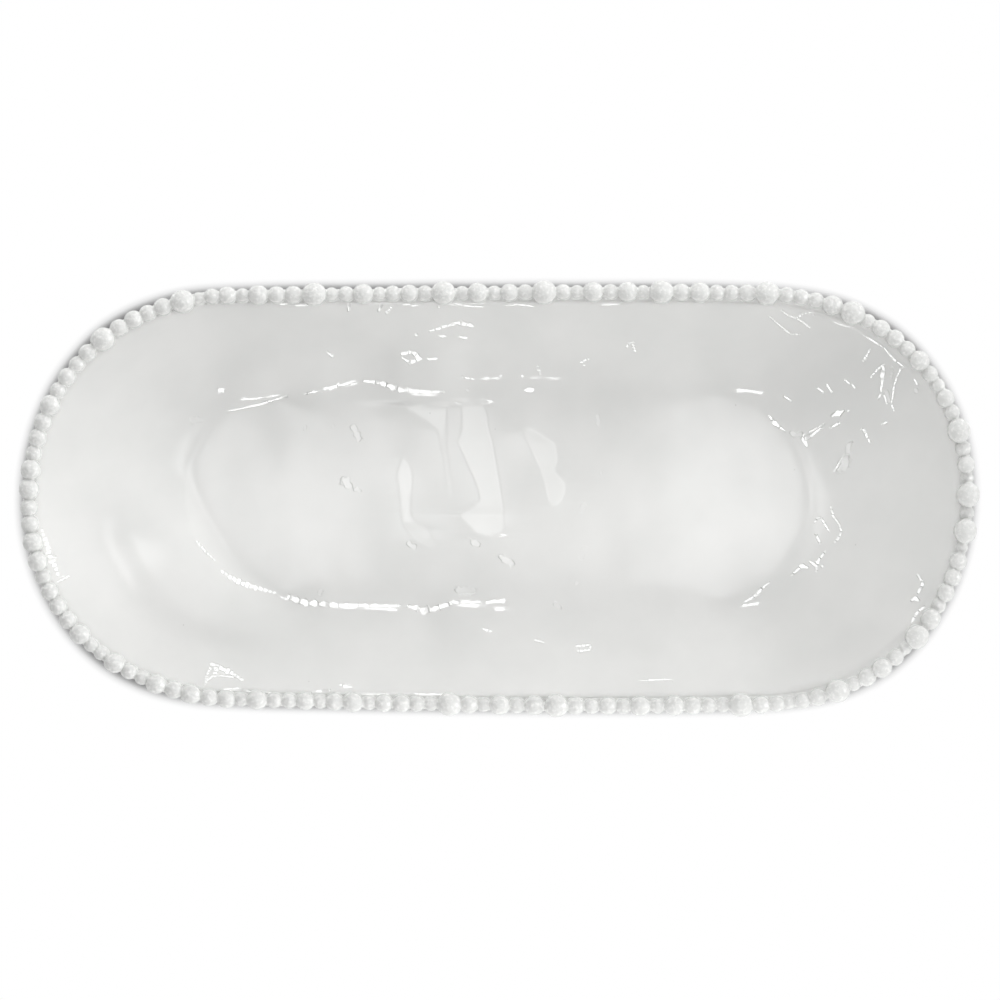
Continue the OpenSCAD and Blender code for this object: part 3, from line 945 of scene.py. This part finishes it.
@dataclass
class Well:
    """The inside of the dish: a floor, a wall round it, and the marks that hands left there.

    Sizes are in millimetres. How far out a place lies is counted from 0 at the floor's edge to 1
    at the lip. Bow is how hollow the wall is, and knee and end_knee how softly it starts on the
    long sides and at the ends. The edges hold x and how far the floor's edge lies outside its oval
    there, of which wall_run counts as 1.
    """

    line: RimLine
    studio: Studio
    floor_half: float = 91.0
    floor_r: float = 48.0
    floor_z: float = 6.5
    floor_dip: float = 0.8
    floor_shift: float = 2.0
    wall_run: float = 36.0
    lip_share: float = 0.102758
    lip_fade: float = 0.2
    lip_soft: float = 0.35
    bow: float = 1.35
    knee: float = 0.22
    end_knee: float = 0.07
    end_x: Point = (75.0, 100.0)
    edge_fade: Point = (0.05, 0.8)
    knee_fade: Point = (0.35, 0.85)
    dents_fade: Point = (0.0, 0.4)
    sides_y: Point = (-20.0, 20.0)
    beyond: float = -0.15
    tries: int = 18
    ribbons: tuple[Ribbon, ...] = RIBBONS
    marks: tuple[Mark, ...] = MARKS
    relief: Slow = Slow(7, 45.0, 120.0, 0.16)
    fine: Slow = Slow(11, 16.0, 34.0, 0.035)
    wall_dents: Slow = Slow(23, 20.0, 46.0, 0.13)
    ragged: Slow = Slow(41, 1.6, 5.0, 0.6)
    ragged_from: float = 0.45
    ragged_most: float = 1.2
    mark_soft: float = 0.24
    dab_soft: float = 0.5
    dab_from: float = 0.6
    mark_reach: float = 1.5
    step_least: float = 1.3
    step_drop: float = 0.5
    gain_least: float = 0.01
    mesh_reach: float = 1.0
    mesh_near: float = 0.6
    edge_back: tuple = (
        (-125, 0), (-107, -5.3), (-94, -5.7), (-86, -5.3), (-75, -2.4), (-64, 0.6), (-52, 0),
        (-44, -3.7), (-25, -4), (-14, 2), (10, 3), (45, 1.5), (80, 0), (98, -3), (120, -2))
    edge_front: tuple = (
        (-125, -10), (-110, -7), (-99, -4.5), (-86, -0.9), (-44, 0.4), (-33, 3), (-20, -1.3),
        (0, -1), (40, 0))
    edge_x: float = 160.0
    edge_bell: int = 17

    def slope_share(self, x: Array, y: Array) -> tuple[Array, Array]:
        """Find how far down the wall each place is, and how far in on the floor.

        Args:
            x: places along the dish.
            y: places across it.

        Returns:
            The share of the wall, 1 on the floor, and the floor's share, 1 at its edge.
        """
        low, high = np.full_like(x, self.beyond), np.ones_like(x)
        for _ in range(self.tries):
            t = (low + high) / 2
            half = mix(self.line.half, self.floor_half, t)
            u, r = self.line.share(x, y - self.floor_shift * t, half)
            rim = self.line.radius + self.line.swing(u) - self.line.reach(u)
            outside = r > mix(rim, self.floor_r, t)
            low, high = np.where(outside, low, t), np.where(outside, t, high)
        _, r = self.line.share(x, y - self.floor_shift, np.full_like(x, self.floor_half))
        return (low + high) / 2, r / self.floor_r

    def form(self, x: Array, y: Array) -> Array:
        """Find the height of the pressed form, without its sharper marks.

        Args:
            x: places along the dish.
            y: places across it.

        Returns:
            The height at each place.
        """
        t, q = self.slope_share(x, y)
        out = np.where(q < 1, (q - 1) * self.floor_r / self.wall_run, 1 - t)
        back, front = (self.wander(x, edge) / self.wall_run
                       for edge in (self.edge_back, self.edge_front))
        moved = out - mix(front, back, ease(y, *self.sides_y)) * (1 - ease(out, *self.edge_fade))
        soft = mix(self.knee, self.end_knee, ease(np.abs(x), *self.end_x))
        swell = soft * np.logaddexp(0, moved / soft)
        sharp = np.maximum(out, 0)
        share = 1 - ease(out, *self.knee_fade)
        rise = mix(np.power(sharp, self.bow), np.power(swell, self.bow), share)
        z = self.floor_z + (self.line.top - self.floor_z) * rise
        under = np.logaddexp(0, (self.line.top - z) / self.lip_soft)
        z = self.line.top - self.lip_soft * under
        z -= self.floor_dip * (1 - np.minimum(q, 1) ** 2) ** 2
        waves = self.relief.at(x, y) + self.fine.at(x, y)
        waves += self.wall_dents.at(x, y) * ease(out, *self.dents_fade)
        z += ease(t, self.lip_share, self.lip_share + self.lip_fade) * waves
        for ribbon in self.ribbons:
            z += ribbon.press(x, y)
        return z

    def wander(self, x: Array, edge: tuple) -> Array:
        """Find how far outside its oval the floor's edge lies, as a smooth curve.

        Args:
            x: places along the dish.
            edge: the points of the curve.

        Returns:
            The distance at each place.
        """
        at = np.arange(-self.edge_x, self.edge_x + 1)
        rough = np.interp(at, *np.array(edge, float).T)
        bell = np.exp(-np.linspace(-2, 2, self.edge_bell) ** 2)
        padded = np.pad(rough, self.edge_bell // 2, "edge")
        return np.interp(x, at, np.convolve(padded, bell / bell.sum(), "valid"))

    def height(self, x: Array, y: Array) -> Array:
        """Find the height of the finished surface.

        Args:
            x: places along the dish.
            y: places across it.

        Returns:
            The height at each place.
        """
        z = self.form(x, y)
        trails = [mark.trail() for mark in self.marks]
        levels = self.form(*np.concatenate([t[:, :2] for t in trails]).T)
        start = 0
        for mark, trail in zip(self.marks, trails):
            self.cut(mark, trail, levels[start:start + len(trail)], x, y, z)
            start += len(trail)
        return z

    def cut(self, mark: Mark, trail: Array, level: Array, x: Array, y: Array, z: Array) -> None:
        """Cut one mark into the surface.

        Args:
            mark: the mark.
            trail: x, y, half width and run along the mark, of close-set points on it.
            level: the surface's height at those points.
            x: places along the dish.
            y: places across it.
            z: the surface's heights there, which this changes.
        """
        path, wide, run = trail[:, :2], trail[:, 2], trail[:, 3]
        slope = self.studio.slope_facing(mark.lamp, np.column_stack([path, level]))
        drift = np.zeros(len(path))
        if len(path) > 1:
            gain = (slope * np.gradient(path, run, axis=0)).sum(axis=1) - np.gradient(level, run)
            step = 2 * run[-1]
            if mark.step:
                steepest = max(self.gain_least, np.abs(gain).max())
                step = min(mark.step, max(self.step_least, self.step_drop / steepest))
            drift = gain * (((run - run[-1] / 2) / step + 0.5) % 1.0 - 0.5) * step
        soft = self.mark_soft
        if mark.lamp in (Lamp.KEY, Lamp.FAINT):
            soft += self.dab_soft * max(0.0, wide.max() - self.dab_from)
        reach = wide.max() * self.mark_reach + soft
        low, high = path.min(axis=0) - reach, path.max(axis=0) + reach
        near = (x > low[0]) & (x < high[0]) & (y > low[1]) & (y < high[1])
        spots = np.column_stack([x[near], y[near]])
        gap = spots[:, None] - path[None]
        far = np.hypot(gap[..., 0], gap[..., 1]) - wide[None, :]
        at = far.argmin(axis=1)
        tear = np.clip(wide[at] - self.ragged_from, 0, self.ragged_most)
        far = far.min(axis=1) + self.ragged.at(*spots.T) * tear
        share = 1 - ease(far, -soft / 2, soft / 2)
        facet = level[at] + drift[at] + (slope[at] * (spots - path[at])).sum(axis=1)
        z[near] = mix(z[near], facet, share)

    def near_marks(self, plan: Array) -> Array:
        """Find which cells of a grid lie on or near a mark.

        Args:
            plan: x and y of the grid's points, by row and column.

        Returns:
            Whether each cell does.
        """
        middle = (plan[:-1, :-1] + plan[1:, 1:]) / 2
        near = np.zeros(middle.shape[:2], bool)
        for mark in self.marks:
            trail = mark.trail()
            reach = trail[:, 2].max() + self.mesh_reach
            low, high = trail[:, :2].min(axis=0) - reach, trail[:, :2].max(axis=0) + reach
            i, j = np.nonzero(((middle > low) & (middle < high)).all(axis=2))
            gap = middle[i, j][:, None] - trail[None, :, :2]
            far = (np.hypot(gap[..., 0], gap[..., 1]) - trail[None, :, 2]).min(axis=1)
            near[i, j] |= far < self.mesh_near
        return near


@dataclass
class FineGrid:
    """A grid of faces that is split finer in some of its cells."""

    plan: Array
    split: Array
    parts: int = 6

    def build(self) -> tuple[Array, list]:
        """Number the points and list the faces.

        Returns:
            x and y of every point, the grid's own first, and the faces.
        """
        n, (rows, columns) = self.parts, self.plan.shape[:2]
        ids, extra, faces = {}, [], []
        share = np.arange(n + 1) / n
        weight = np.stack([np.outer(a, b) for a in (1 - share, share) for b in (1 - share, share)])
        for i, j in zip(*np.nonzero(self.split)):
            ends = self.plan[[i, i, i + 1, i + 1], [j, j + 1, j, j + 1]]
            spots = np.einsum("kab,kc->abc", weight, ends)
            mine = np.empty((n + 1, n + 1), int)
            for a in range(n + 1):
                for b in range(n + 1):
                    if a % n == 0 and b % n == 0:
                        mine[a, b] = (i + a // n) * columns + j + b // n
                        continue
                    key = (int(i) * n + a, int(j) * n + b)
                    if key not in ids:
                        ids[key] = rows * columns + len(extra)
                        extra.append(spots[a, b])
                    mine[a, b] = ids[key]
            cells = np.stack([mine[:-1, :-1], mine[:-1, 1:], mine[1:, 1:], mine[1:, :-1]], -1)
            faces += cells.reshape(-1, 4).tolist()
        faces += self.whole(ids, columns)
        return np.concatenate([self.plan.reshape(-1, 2), np.array(extra)]), faces

    def whole(self, ids: dict, columns: int) -> list:
        """List the faces of the cells that aren't split, with the split points on their edges.

        Args:
            ids: the numbers of the split points, by row and column of the fine grid.
            columns: number of points in a row of the grid.

        Returns:
            The vertex numbers of each face.
        """
        n, split = self.parts, self.split
        beside = np.zeros_like(split)
        beside[1:] |= split[:-1]
        beside[:-1] |= split[1:]
        beside[:, 1:] |= split[:, :-1]
        beside[:, :-1] |= split[:, 1:]
        i, j = np.nonzero(~split & ~beside)
        a = i * columns + j
        faces = np.stack([a, a + 1, a + columns + 1, a + columns], -1).tolist()
        sides = ((0, 0, 0, 1), (0, n, 1, 0), (n, n, 0, -1), (n, 0, -1, 0))
        for i, j in zip(*np.nonzero(~split & beside)):
            loop = []
            for a, b, da, db in sides:
                loop.append(int((i + a // n) * columns + j + b // n))
                keys = ((int(i) * n + a + da * k, int(j) * n + b + db * k) for k in range(1, n))
                loop += [ids[key] for key in keys if key in ids]
            faces.append(loop)
        return faces


@dataclass
class DishBody:
    """The pressed slab: the well inside, the outer wall, and the flat underside.

    Sizes are in millimetres. Close under the lip the outer wall stands out lip_hang further, and
    hang_fade is how soon that ends. Its waves are the lengths of the low dents in it.
    """

    line: RimLine
    well: Well
    glaze: bpy.types.Material
    mesh_step: float = 0.75
    mesh_size: Point = (404.0, 172.0)
    edge_points: int = 4001
    top_share: float = -0.04
    wall_top: float = 5.4
    wall_top_z: float = 27.2
    wall_share: float = 0.95
    foot_z: float = 2.5
    base_out: float = 4.0
    base_in: float = 2.4
    base_corner: float = 0.3
    base_shares: Point = (0.5, 1.0)
    under_r: Point = (46.0, 40.0)
    outer_bow: float = 1.3
    outer_rings: int = 26
    lip_hang: float = 1.7
    hang_fade: float = 22.0
    dent: float = 0.2
    dent_fade: float = 6.0
    waves: tuple = (17.0, 23.0, 14.0, 31.0, 9.0)

    def outline(self, columns: int, rows: int) -> Array:
        """Lay out a box-shaped grid, drawn in to the oval of the well's top edge.

        Args:
            columns: number of points along the dish.
            rows: number of points across it.

        Returns:
            x and y of its points, by row and column.
        """
        half, r = self.line.half, self.line.radius
        u = np.linspace(0, 1, self.edge_points)
        side, facing = self.line.turn(u)
        t = self.top_share
        rim = mix(r + self.line.swing(u) - self.line.reach(u), self.well.floor_r, t)
        h = mix(half, self.well.floor_half, t)
        ex, ey = h * side + rim * np.cos(facing), rim * np.sin(facing) + self.well.floor_shift * t
        angle = np.unwrap(np.arctan2(ey, ex))
        order = np.argsort(angle)
        angle, ex, ey = angle[order], ex[order], ey[order]
        gx, gy = np.meshgrid(np.linspace(-1, 1, columns), np.linspace(-1, 1, rows))
        bx, by = gx * (h + r), gy * r
        way = np.arctan2(by, bx)
        turned = (way - angle[0]) % (2 * np.pi) + angle[0]
        edge = np.hypot(*(np.interp(turned, angle, e, period=2 * np.pi) for e in (ex, ey)))
        box = np.minimum((h + r) / np.maximum(np.abs(np.cos(way)), TINY),
                         r / np.maximum(np.abs(np.sin(way)), TINY))
        scale = mix(1.0, edge / box, np.maximum(np.abs(gx), np.abs(gy)) ** 2)
        return np.stack([bx * scale, by * scale], axis=-1)

    def build(self) -> bpy.types.Object:
        """Build the dish body.

        Returns:
            The dressed piece.
        """
        columns, rows = (int(size / self.mesh_step) for size in self.mesh_size)
        plan = self.outline(columns, rows)
        spots, faces = FineGrid(plan, self.well.near_marks(plan)).build()
        inside = np.column_stack([spots, self.well.height(*spots.T)])
        number = np.arange(rows * columns).reshape(rows, columns)
        rim = np.concatenate([number[0, :-1], number[:-1, -1], number[-1, :0:-1],
                              number[:0:-1, 0]])
        t = self.top_share
        half = np.full(len(rim), mix(self.line.half, self.well.floor_half, t))
        u, _ = self.line.share(inside[rim, 0], inside[rim, 1] - self.well.floor_shift * t, half)
        rings = [self.outer(u, i / self.outer_rings) for i in range(self.outer_rings + 1)]
        rings += [self.base(u, share) for share in self.base_shares]
        rings += [self.under(u, r) for r in self.under_r]
        first, count = len(inside), len(rim)
        for k in range(count):
            m = (k + 1) % count
            faces.append([int(rim[m]), int(rim[k]), first + k, first + m])
        faces += [face[::-1] for face in grid_faces(len(rings), count, first)]
        last = first + (len(rings) - 1) * count
        faces.append(list(range(last, last + count))[::-1])
        piece = make_object("dish", np.concatenate([inside] + rings), faces, self.glaze)
        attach(piece, "root")
        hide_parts("dish_body")
        return piece

    def outer(self, u: Array, t: float) -> Array:
        """Find a ring of the outer wall.

        Args:
            u: shares of the way round.
            t: how far down the wall the ring is, 0 under the lip and 1 above the base.

        Returns:
            Its points.
        """
        line, well, share = self.line, self.well, self.well.lip_share
        side, facing = line.turn(u)
        rim = line.radius + line.swing(u) - line.reach(u)
        t = t * self.wall_share
        half = mix(mix(line.half, well.floor_half, share), well.floor_half, t)
        r = mix(mix(rim, well.floor_r, share) + self.wall_top, well.floor_r + self.base_out, t)
        r = r + self.lip_hang * math.exp(-t * self.hang_fade)
        z = mix(self.foot_z, self.wall_top_z, (1 - t) ** self.outer_bow) + np.zeros_like(u)
        x = half * side + r * np.cos(facing)
        y = r * np.sin(facing) + well.floor_shift * mix(share, 1, t)
        a, b, c, d, e = self.waves
        wave = self.dent * min(1.0, t * self.dent_fade) / 2
        wave = wave * (np.sin(x / a + y / b) + np.sin(y / c - x / d + z / e))
        return np.stack([x + wave * np.cos(facing), y + wave * np.sin(facing), z], axis=1)

    def base(self, u: Array, share: float) -> Array:
        """Find a ring of the rounded corner between the outer wall and the underside.

        Args:
            u: shares of the way round.
            share: how far round the corner the ring is, from 0 to 1.

        Returns:
            Its points.
        """
        edge = self.well.floor_r + self.base_out
        start, corner = self.outer(u, 1.0), self.under(u, edge + self.base_corner)
        a, b, c = (1 - share) ** 2, 2 * share * (1 - share), share ** 2
        return a * start + b * corner + c * self.under(u, edge - self.base_in)

    def under(self, u: Array, r: float) -> Array:
        """Find a ring of the flat underside.

        Args:
            u: shares of the way round.
            r: the ring's distance from the floor's spine.

        Returns:
            Its points.
        """
        side, facing = self.line.turn(u)
        x = self.well.floor_half * side + r * np.cos(facing)
        y = r * np.sin(facing) + self.well.floor_shift
        return np.stack([x, y, np.full_like(u, self.foot_z)], axis=1)


@dataclass
class RimLip:
    """The strip of clay round the top of the wall, which carries the beads.

    Sizes are in millimetres. Each wobble holds its depth, how often it comes round and its start
    in radians.
    """

    line: RimLine
    well: Well
    glaze: bpy.types.Material
    thick: float = 3.2
    out: float = 2.2
    soft: float = 1.6
    sink: float = 0.7
    sink_rate: float = 5.0
    bend_rate: float = 6.0
    inner_share: float = 1.3
    under_share: float = 0.6
    wobbles: tuple = ((0.12, 23, 1), (0.08, 41, 2))
    stations: int = 1280
    round_rings: int = 11
    flat_shares: tuple = (0.1, 0.9, 6)
    inner_rings: int = 10

    def ring(self, u: Array, out: Array, z: Array) -> Array:
        """Find a ring of the lip.

        Args:
            u: shares of the way round.
            out: how far outside the rim line it is.
            z: its height.

        Returns:
            Its points.
        """
        side, facing = self.line.turn(u)
        r = self.line.radius + self.line.swing(u) + out
        x, y = self.line.half * side + r * np.cos(facing), r * np.sin(facing)
        return np.stack([x, y, z + 0 * u], axis=1)

    def wall(self, u: Array, t: float) -> Array:
        """Find a ring of the well's inner wall.

        Args:
            u: shares of the way round.
            t: how far down the wall it is, from 0 to 1.

        Returns:
            Its points.
        """
        line, well = self.line, self.well
        side, facing = line.turn(u)
        half = mix(line.half, well.floor_half, t)
        r = mix(line.radius + line.swing(u) - line.reach(u), well.floor_r, t)
        x, y = half * side + r * np.cos(facing), r * np.sin(facing) + well.floor_shift * t
        z = mix(well.floor_z, line.top, (1 - t) ** well.bow)
        return np.stack([x, y, z + 0 * u], axis=1)

    def rings(self, u: Array) -> list[Array]:
        """Find all rings, from under the beads over the top and down inside the wall.

        Args:
            u: shares of the way round.

        Returns:
            The points of each ring.
        """
        half, top, reach = self.thick / 2, self.line.top, self.line.reach(u)
        wobble = sum(depth * np.sin(2 * np.pi * n * u + start) for depth, n, start in self.wobbles)
        rings = []
        for a in np.radians(np.linspace(-90, 90, self.round_rings)):
            out = self.out - half * (1 - math.cos(a)) + wobble * math.cos(a)
            rings.append(self.ring(u, out, top - half + half * math.sin(a)))
        for share in np.linspace(*self.flat_shares):
            rings.append(self.ring(u, mix(self.out - half, self.soft - reach, share), top))
        for t in np.arange(self.inner_rings + 1) / self.inner_rings:
            fall = self.wall(u, self.well.lip_share * self.inner_share * t)
            fall[:, 2] -= self.sink * min(1.0, t * self.sink_rate)
            keep = max(0.0, 1 - t * self.bend_rate) ** 2
            rings.append(self.ring(u, mix(self.soft, 0, t) - reach, top) * keep + fall * (1 - keep))
        under = self.wall(u, self.well.lip_share * self.under_share)
        under[:, 2] = top - self.thick
        return rings + [under]

    def build(self) -> bpy.types.Object:
        """Build the lip.

        Returns:
            The dressed piece.
        """
        n = self.stations
        rings = self.rings(np.arange(n) / n)
        last = (len(rings) - 1) * n
        closing = [[last + k, last + (k + 1) % n, (k + 1) % n, k] for k in range(n)]
        piece = make_object("lip", np.concatenate(rings), grid_faces(len(rings), n) + closing,
                            self.glaze)
        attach(piece, "root")
        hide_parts("rim_lip")
        return piece


@dataclass(frozen=True, order=True)
class Bead:
    """A bead: its share of the way round, the height of its middle, its radius and its node."""

    share: float
    up: float
    radius: float
    node: str


@dataclass
class BeadRow:
    """The hand-rolled beads round the rim, fused to each other by the glaze.

    Sizes are in millimetres. Stretch is how much longer than wide a bead is along the row, core
    the least radius of the row, and blend how softly one bead runs into the next. Glaze pools up
    to foot_out from the row's line at the beads' inner feet. Uneven holds how much a bead bulges
    two and three times round it, and how much it leans along the row.
    """

    line: RimLine
    glaze: bpy.types.Material
    nodes: tuple = ("seed_beads", "tiny_beads", "small_beads", "medium_beads", "large_beads",
                    "pearl_beads")
    radii: Point = (2.4, 5.1)
    swell: Point = (1.07, 0.985)
    stretch: float = 1.08
    core: float = 1.7
    blend: float = 0.12
    blend_range: Point = (-40.0, 200.0)
    steepest: float = 0.999
    no_skin: float = -5.0
    uneven: Spot = (0.022, 0.014, 0.04)
    seed: int = 5
    pool: float = 0.45
    pool_more: float = 0.55
    pool_waist: float = 3.3
    pool_rise: float = 1.3
    foot_out: float = 5.5
    foot_below: float = 0.4
    inner_in: Point = (0.0, 0.6)
    inner_down: Point = (-0.3, 0.3)
    around: int = 40
    along: int = 22
    stations: int = 8001
    beads: list[Bead] = field(default_factory=list)

    def find(self) -> None:
        """Find every bead's place and size from the frame, in order round the rim."""
        for node in self.nodes:
            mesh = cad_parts[node].data
            points = np.empty(len(mesh.vertices) * 3, np.float32)
            mesh.vertices.foreach_get("co", points)
            points = points.reshape(-1, 3) / MM
            edges = np.empty(len(mesh.edges) * 2, np.int32)
            mesh.edges.foreach_get("vertices", edges)
            _, same = np.unique(np.round(points, 3), axis=0, return_inverse=True)
            same = same.ravel()
            group = joined_groups(int(same.max()) + 1, same[edges.reshape(-1, 2)])[same]
            for number in np.unique(group):
                mine = points[group == number]
                low, high = mine.min(0), mine.max(0)
                r = float(high[0] - low[0] + high[1] - low[1]) / 4
                x, y = float(low[0] + high[0]) / 2, float(low[1] + high[1]) / 2
                u, _ = self.line.share(np.array([x]), np.array([y]), np.array([self.line.half]))
                swell = float(np.interp(r, self.radii, self.swell))
                self.beads.append(Bead(float(u[0]), float(high[2]) - r, r * swell, node))
        self.beads.sort()

    def build(self) -> list[bpy.types.Object]:
        """Build one piece for each size of bead.

        Returns:
            The dressed pieces.
        """
        self.find()
        shares = np.linspace(0, 1, self.stations)
        x, y = self.line.at(shares)
        run = np.concatenate([[0], np.cumsum(np.hypot(np.diff(x), np.diff(y)))])
        total, n = run[-1], len(self.beads)
        log.info("beads found: %d", n)
        s = np.interp([bead.share for bead in self.beads], shares, run)
        z = np.array([bead.up for bead in self.beads])
        r = np.array([bead.radius for bead in self.beads])
        shape = np.random.RandomState(self.seed).uniform(-1, 1, (n, 4))
        angle = np.linspace(0, 2 * np.pi, self.around, endpoint=False)
        parts: dict[str, list] = {node: [] for node in self.nodes}
        for i, bead in enumerate(self.beads):
            near = [(i - 1) % n, i, (i + 1) % n]
            offset = [((s[j] - s[i] + total / 2) % total) - total / 2 for j in near]
            ends = []
            for k in (0, 2):
                d = offset[k] / self.stretch
                end = (d * d + r[i] ** 2 - r[near[k]] ** 2) / (2 * d) / r[i]
                ends.append(math.asin(min(self.steepest, max(-self.steepest, end))))
            a = self.stretch * r[i] * np.sin(np.linspace(*ends, self.along))
            level = np.interp(a, [offset[0], 0, offset[2]], [z[near[0]], z[i], z[near[2]]])
            rho = [self.profile(a - d, z[j] - level, r[j], shape[j], angle)
                   for j, d in zip(near, offset)]
            rho.append(np.full((len(a), self.around), self.core))
            rho = self.blend * np.log(
                sum(np.exp(np.clip(q / self.blend, *self.blend_range)) for q in rho))
            u = np.interp((s[i] + a) % total, run, shares)
            _, facing = self.line.turn(u)
            x, y = self.line.at(u)
            out, rise = rho * np.cos(angle), level[:, None] + rho * np.sin(angle)
            out = self.pooled(out, rise, rho, angle)
            points = [x[:, None] + out * np.cos(facing)[:, None],
                      y[:, None] + out * np.sin(facing)[:, None], rise]
            parts[bead.node].append(np.stack(points, axis=-1))
        return [self.piece(node, parts[node]) for node in self.nodes]

    def pooled(self, out: Array, rise: Array, rho: Array, angle: Array) -> Array:
        """Move the lower inner skin of the beads in, to where glaze fills the corner on the lip.

        Args:
            out: how far outside the rim line each point is.
            rise: heights of the points.
            rho: their distances from the line.
            angle: directions round the line.

        Returns:
            The moved distances outside the rim line.
        """
        waist = rho[:, np.argmin(np.abs(angle - np.pi))][:, None]
        above = np.maximum(rise - self.line.top, 0)
        pool = self.pool + self.pool_more * np.maximum(self.pool_waist - waist, 0)
        foot = waist + pool * np.exp(-above / self.pool_rise)
        foot = np.minimum(foot, np.maximum(waist, self.foot_out))
        inner = ease(-np.cos(angle), *self.inner_in) * ease(-np.sin(angle), *self.inner_down)
        return mix(out, -foot, inner[None, :] * (rise > self.line.top - self.foot_below))

    def profile(self, a: Array, dz: Array, r: float, shape: Array, angle: Array) -> Array:
        """Find how far a bead's skin is from the row's centre line.

        Args:
            a: distances along the row from the bead's centre.
            dz: the centre's height above the line, at each.
            r: the bead's radius.
            shape: four numbers from -1 to 1 that make it uneven.
            angle: directions round the line.

        Returns:
            The distance for each place and direction, or no_skin where the bead isn't.
        """
        twice, thrice, lean = self.uneven
        bulge = 1 + twice * shape[0] * np.cos(2 * angle + 3 * shape[1])
        bulge += thrice * shape[2] * np.cos(3 * angle + 3 * shape[3])
        size = (r * bulge)[None, :] * (1 + lean * shape[1] * np.clip(a / r, -1, 1))[:, None]
        q = size ** 2 - (a[:, None] / self.stretch) ** 2
        inside = q - (dz[:, None] * np.cos(angle)[None, :]) ** 2
        skin = dz[:, None] * np.sin(angle)[None, :] + np.sqrt(np.maximum(inside, 0))
        return np.where(inside > 0, skin, self.no_skin)

    def piece(self, node: str, parts: list) -> bpy.types.Object:
        """Join beads of one size into a piece that stands for a node.

        Args:
            node: the node.
            parts: points of each bead, by ring.

        Returns:
            The dressed piece.
        """
        points, faces, start = [], [], 0
        for part in parts:
            end = start + (part.shape[0] - 1) * self.around
            points.append(part.reshape(-1, 3))
            faces += [face[::-1] for face in grid_faces(part.shape[0], self.around, start)]
            faces.append(list(range(start, start + self.around))[::-1])
            faces.append(list(range(end, end + self.around)))
            start = end + self.around
        name = node.replace("_beads", "_bead_row")
        piece = make_object(name, np.concatenate(points), faces, self.glaze)
        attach(piece, "root")
        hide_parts(node)
        return piece


@dataclass
class FootRing:
    """The low ring that the dish stands on, as the frame has it, in bare clay."""

    clay: bpy.types.Material
    node: str = "foot_ring"

    def dress(self) -> bpy.types.Object:
        """Dress the ring.

        Returns:
            The frame's own piece.
        """
        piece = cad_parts[self.node]
        for slot in piece.material_slots:
            slot.material = self.clay
        return piece


def corners() -> list[list[float]]:
    """Return the lowest and highest corners of what is shown."""
    return [list(c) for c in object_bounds()]


def main() -> None:
    """Build the dish and its studio, and report each piece."""
    logging.basicConfig(level=logging.INFO)
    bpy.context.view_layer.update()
    line, studio = RimLine(), Studio()
    white, clay = Glaze().build(), BareClay().build()
    # The beads' glaze is pale in small patches: partly mottled glaze and partly painted glints that
    # stand in for the beads' small highlights.
    speckled_and_glinting = Glaze("bead_glaze", light=(0.93, 0.93, 0.915), deep=(0.755, 0.76, 0.745), patch=0.0014,
                  patch_share=(0.5, 0.72), ripple=0.0016, ripple_depth=0.0005,
                  ripple_share=0.8).build()
    well = Well(line, studio)
    pieces = [DishBody(line, well, white).build(), RimLip(line, well, white).build()]
    pieces += BeadRow(line, speckled_and_glinting).build()
    pieces.append(FootRing(clay).dress())
    for piece in pieces:
        log.info("%s: %d faces", piece.name, len(piece.data.polygons))
    studio.build()


if __name__ == "__main__":
    main()
